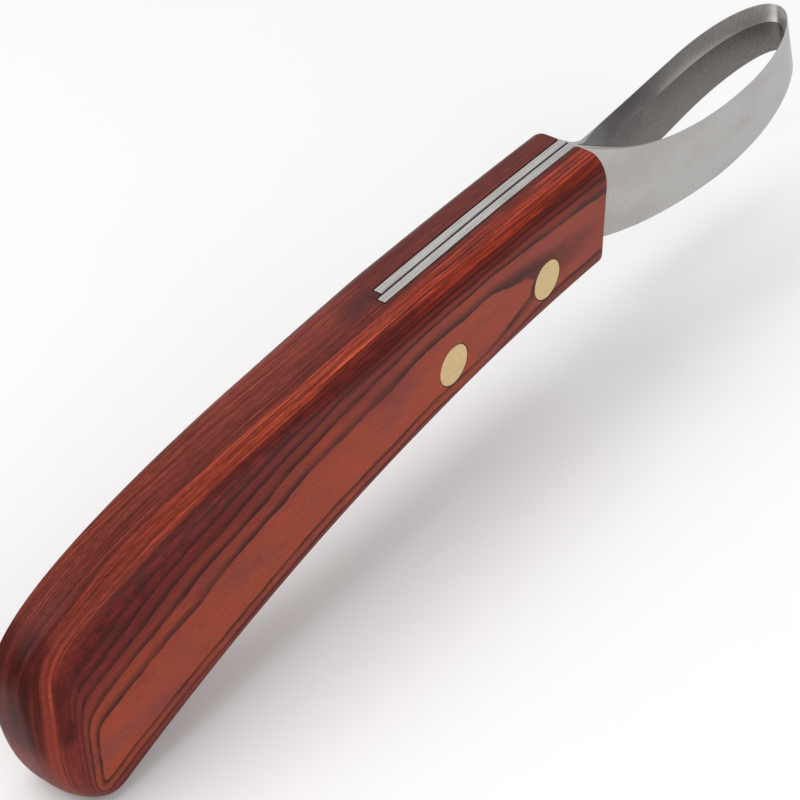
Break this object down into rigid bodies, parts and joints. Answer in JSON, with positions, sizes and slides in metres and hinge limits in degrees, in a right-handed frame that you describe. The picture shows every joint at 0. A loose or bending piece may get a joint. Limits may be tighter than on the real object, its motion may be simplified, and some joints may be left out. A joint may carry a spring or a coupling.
{
  "type": "loop hoof knife",
  "caption": "Loop hoof knife: a sharpened steel strip bent into a teardrop loop, its tangs riveted in the kerf of a laminated wooden handle.",
  "frame": {"origin": "middle of the bottom of the whole knife's box, under the toe of the butt", "axes": "+Y from the butt to the tip of the loop, +Z towards the spine and the sharpened edge, +X to the right cheek, across the thickness"},
  "size_m": [0.0182, 0.2358, 0.0501],
  "materials": {
    "laminated_wood": "red-brown dyed veneers pressed into one block, dark and orange glue lines, satin gloss",
    "blade_steel": "satin ground, fine lines across the strip, darker inside, bright ground bevel",
    "rivet_brass": "pale brass sanded flush, light scuffs and small dark specks"
  },
  "bodies": {
    "root": {"handle": "laminated_wood", "blade_loop": "blade_steel", "front_rivet_pin_half": "rivet_brass", "front_rivet_socket_half": "rivet_brass", "rear_rivet_pin_half": "rivet_brass", "rear_rivet_socket_half": "rivet_brass"}
  },
  "joints": []
}
